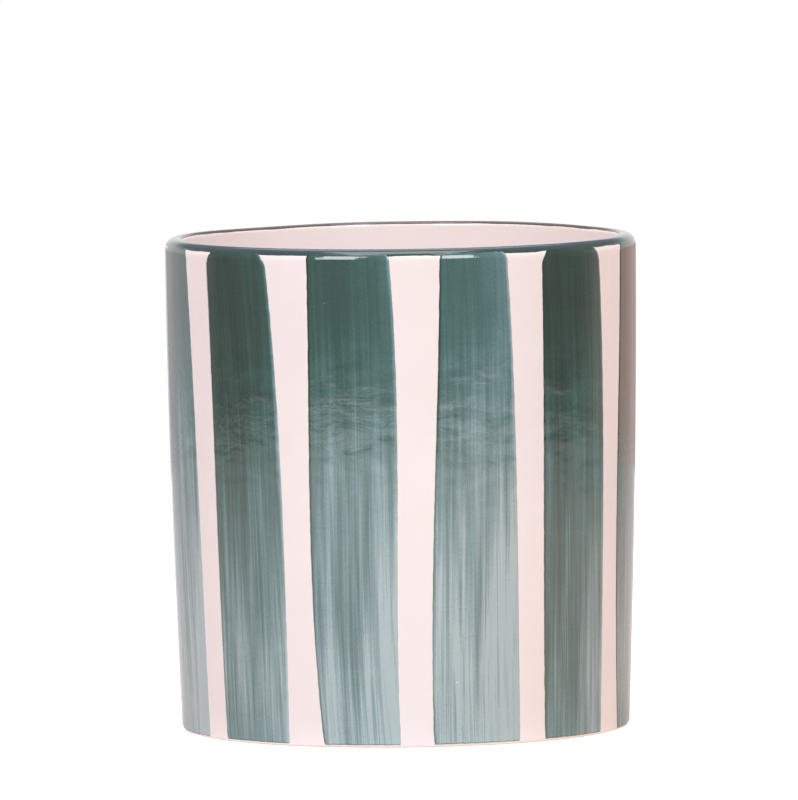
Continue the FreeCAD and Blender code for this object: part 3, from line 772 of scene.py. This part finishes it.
# From below the table is clear.
clear = add(tree, "ShaderNodeBsdfTransparent")
face = add(tree, "ShaderNodeNewGeometry")
both = add(tree, "ShaderNodeMixShader", {0: face.outputs["Backfacing"], 1: shader.outputs[0],
                                         2: clear.outputs[0]})
tree.links.new(both.outputs[0], tree.nodes["Material Output"].inputs["Surface"])

# It is open under the pot, so that the underside is lit when seen from below.
points, faces = [], []
for number, ring in enumerate(TABLE_RINGS):
    points += [(ring * math.cos(math.tau * i / TABLE_SEGMENTS),
                ring * math.sin(math.tau * i / TABLE_SEGMENTS), 0) for i in range(TABLE_SEGMENTS)]
    for i in range(TABLE_SEGMENTS if number else 0):
        j, out = (i + 1) % TABLE_SEGMENTS, number * TABLE_SEGMENTS
        faces.append((out - TABLE_SEGMENTS + i, out + i, out + j, out - TABLE_SEGMENTS + j))
mesh = bpy.data.meshes.new("table")
mesh.from_pydata(points, [], faces)
mesh.materials.append(table_white)
table = bpy.data.objects.new("table", mesh)
bpy.context.scene.collection.objects.link(table)


# ---- The studio light -----------------------------------------------------------------------
# Two tall softboxes in front, left and right, a broad overhead and a weak one behind, in a dim
# room. To the camera the room is white, and the pot mirrors it dark in front and white behind.
middle = Vector((0, 0, HEIGHT / 2 * MM))


def softbox(name, azimuth, elevation, distance, width, height, radiance, colour):
    """An area light at this place round the pot, aimed at the middle of its height."""
    light = bpy.data.lights.new(name, "AREA")
    light.shape = "RECTANGLE"
    light.size, light.size_y = width, height
    light.energy = radiance * width * height * math.pi
    light.color = colour
    a, e = math.radians(azimuth), math.radians(elevation)
    way = Vector((math.sin(a) * math.cos(e), -math.cos(a) * math.cos(e), math.sin(e)))
    lamp = bpy.data.objects.new(name, light)
    lamp.matrix_world = (Matrix.Translation(middle + way * distance)
                         @ way.to_track_quat("Z", "Y").to_matrix().to_4x4())
    bpy.context.scene.collection.objects.link(lamp)


softbox("softbox_left", -32.6, 34, 2.0, 0.64, 1.05, 6.0, (0.98, 0.98, 1.0))
softbox("softbox_right", 29.3, 34, 2.0, 0.60, 1.05, 6.0, (1.0, 0.98, 1.0))
softbox("overhead", 0, 84, 2.2, 1.4, 1.4, 3.5, (1.0, 0.99, 0.98))
softbox("back", 180, 50, 2.2, 1.2, 1.0, 1.2, (1.0, 1.0, 1.0))

world = bpy.data.worlds.new("Studio room")
world.use_nodes = True
bpy.context.scene.world = world
tree = world.node_tree
ray = add(tree, "ShaderNodeLightPath").outputs
way = add(tree, "ShaderNodeSeparateXYZ",
          {0: add(tree, "ShaderNodeTexCoord").outputs["Generated"]}).outputs


def between(part, start, end):
    """A mask that rises smoothly from 0 to 1 as a part of the direction goes from start to end."""
    return span(tree, part, start, end, interpolation_type="SMOOTHSTEP")


# What the gloss mirrors: a dim room in front, white paper behind and a dark ceiling above. The
# paper's foot is grey in the middle, paler to the left and pink to the right.
paper = mix(tree, between(way[0], -0.12, -0.45), (0.50, 0.46, 0.48, 1), (0.77, 0.72, 0.77, 1))
paper = mix(tree, between(way[0], 0.10, 0.40), paper, (0.92, 0.62, 0.58, 1))
paper = mix(tree, between(way[2], -0.04, 0.02), paper, (1, 1, 1, 1))
paper = mix(tree, between(way[2], 0.20, 0.40), paper, (0.25, 0.26, 0.28, 1))
mirrored = mix(tree, between(way[1], 0.12, 0.62), (0.20, 0.22, 0.22, 1), paper)
# What lights the pot: a dim room, brighter and pinkish at the left, brighter and warm at the right.
room = mix(tree, between(way[0], -0.2, -0.9), (0.38, 0.39, 0.41, 1), (0.80, 0.66, 0.64, 1))
room = mix(tree, between(way[0], 0.2, 0.9), room, (0.73, 0.60, 0.53, 1))
lit = mix(tree, ray["Is Glossy Ray"], room, mirrored)
seen = mix(tree, ray["Is Camera Ray"], lit, (1, 1, 1, 1))
plug(tree, tree.nodes["Background"], {"Color": seen, "Strength": 1.0})
bpy.context.scene.view_settings.view_transform = "Standard"


# ---- The camera ------------------------------------------------------------------------------
# A long lens four metres off and a little above the pot, which stands low in the frame.
ELEVATION, DISTANCE, LENS = math.radians(4.55), 4.005, 634.5
ROLL = math.radians(-0.69)
PIXELS_PER_METRE = 3520.0
# How many pixels to the right of the picture's middle and below it the pot's middle shows.
SHOWN_RIGHT, SHOWN_BELOW = 3.1, 81.3

away = Vector((0, -math.cos(ELEVATION), math.sin(ELEVATION)))
upward = Vector((0, math.sin(ELEVATION), math.cos(ELEVATION)))
aim = middle + (upward * SHOWN_BELOW - Vector((SHOWN_RIGHT, 0, 0))) / PIXELS_PER_METRE
lens = bpy.data.cameras.new("camera")
lens.lens = LENS
lens.sensor_width = 36.0
lens.clip_start, lens.clip_end = 0.1, 50.0
camera = bpy.data.objects.new("camera", lens)
station = middle + away * DISTANCE
facing = (aim - station).to_track_quat("-Z", "Y").to_matrix().to_4x4()
camera.matrix_world = Matrix.Translation(station) @ facing @ Matrix.Rotation(ROLL, 4, "Z")
bpy.context.scene.collection.objects.link(camera)
bpy.context.scene.camera = camera
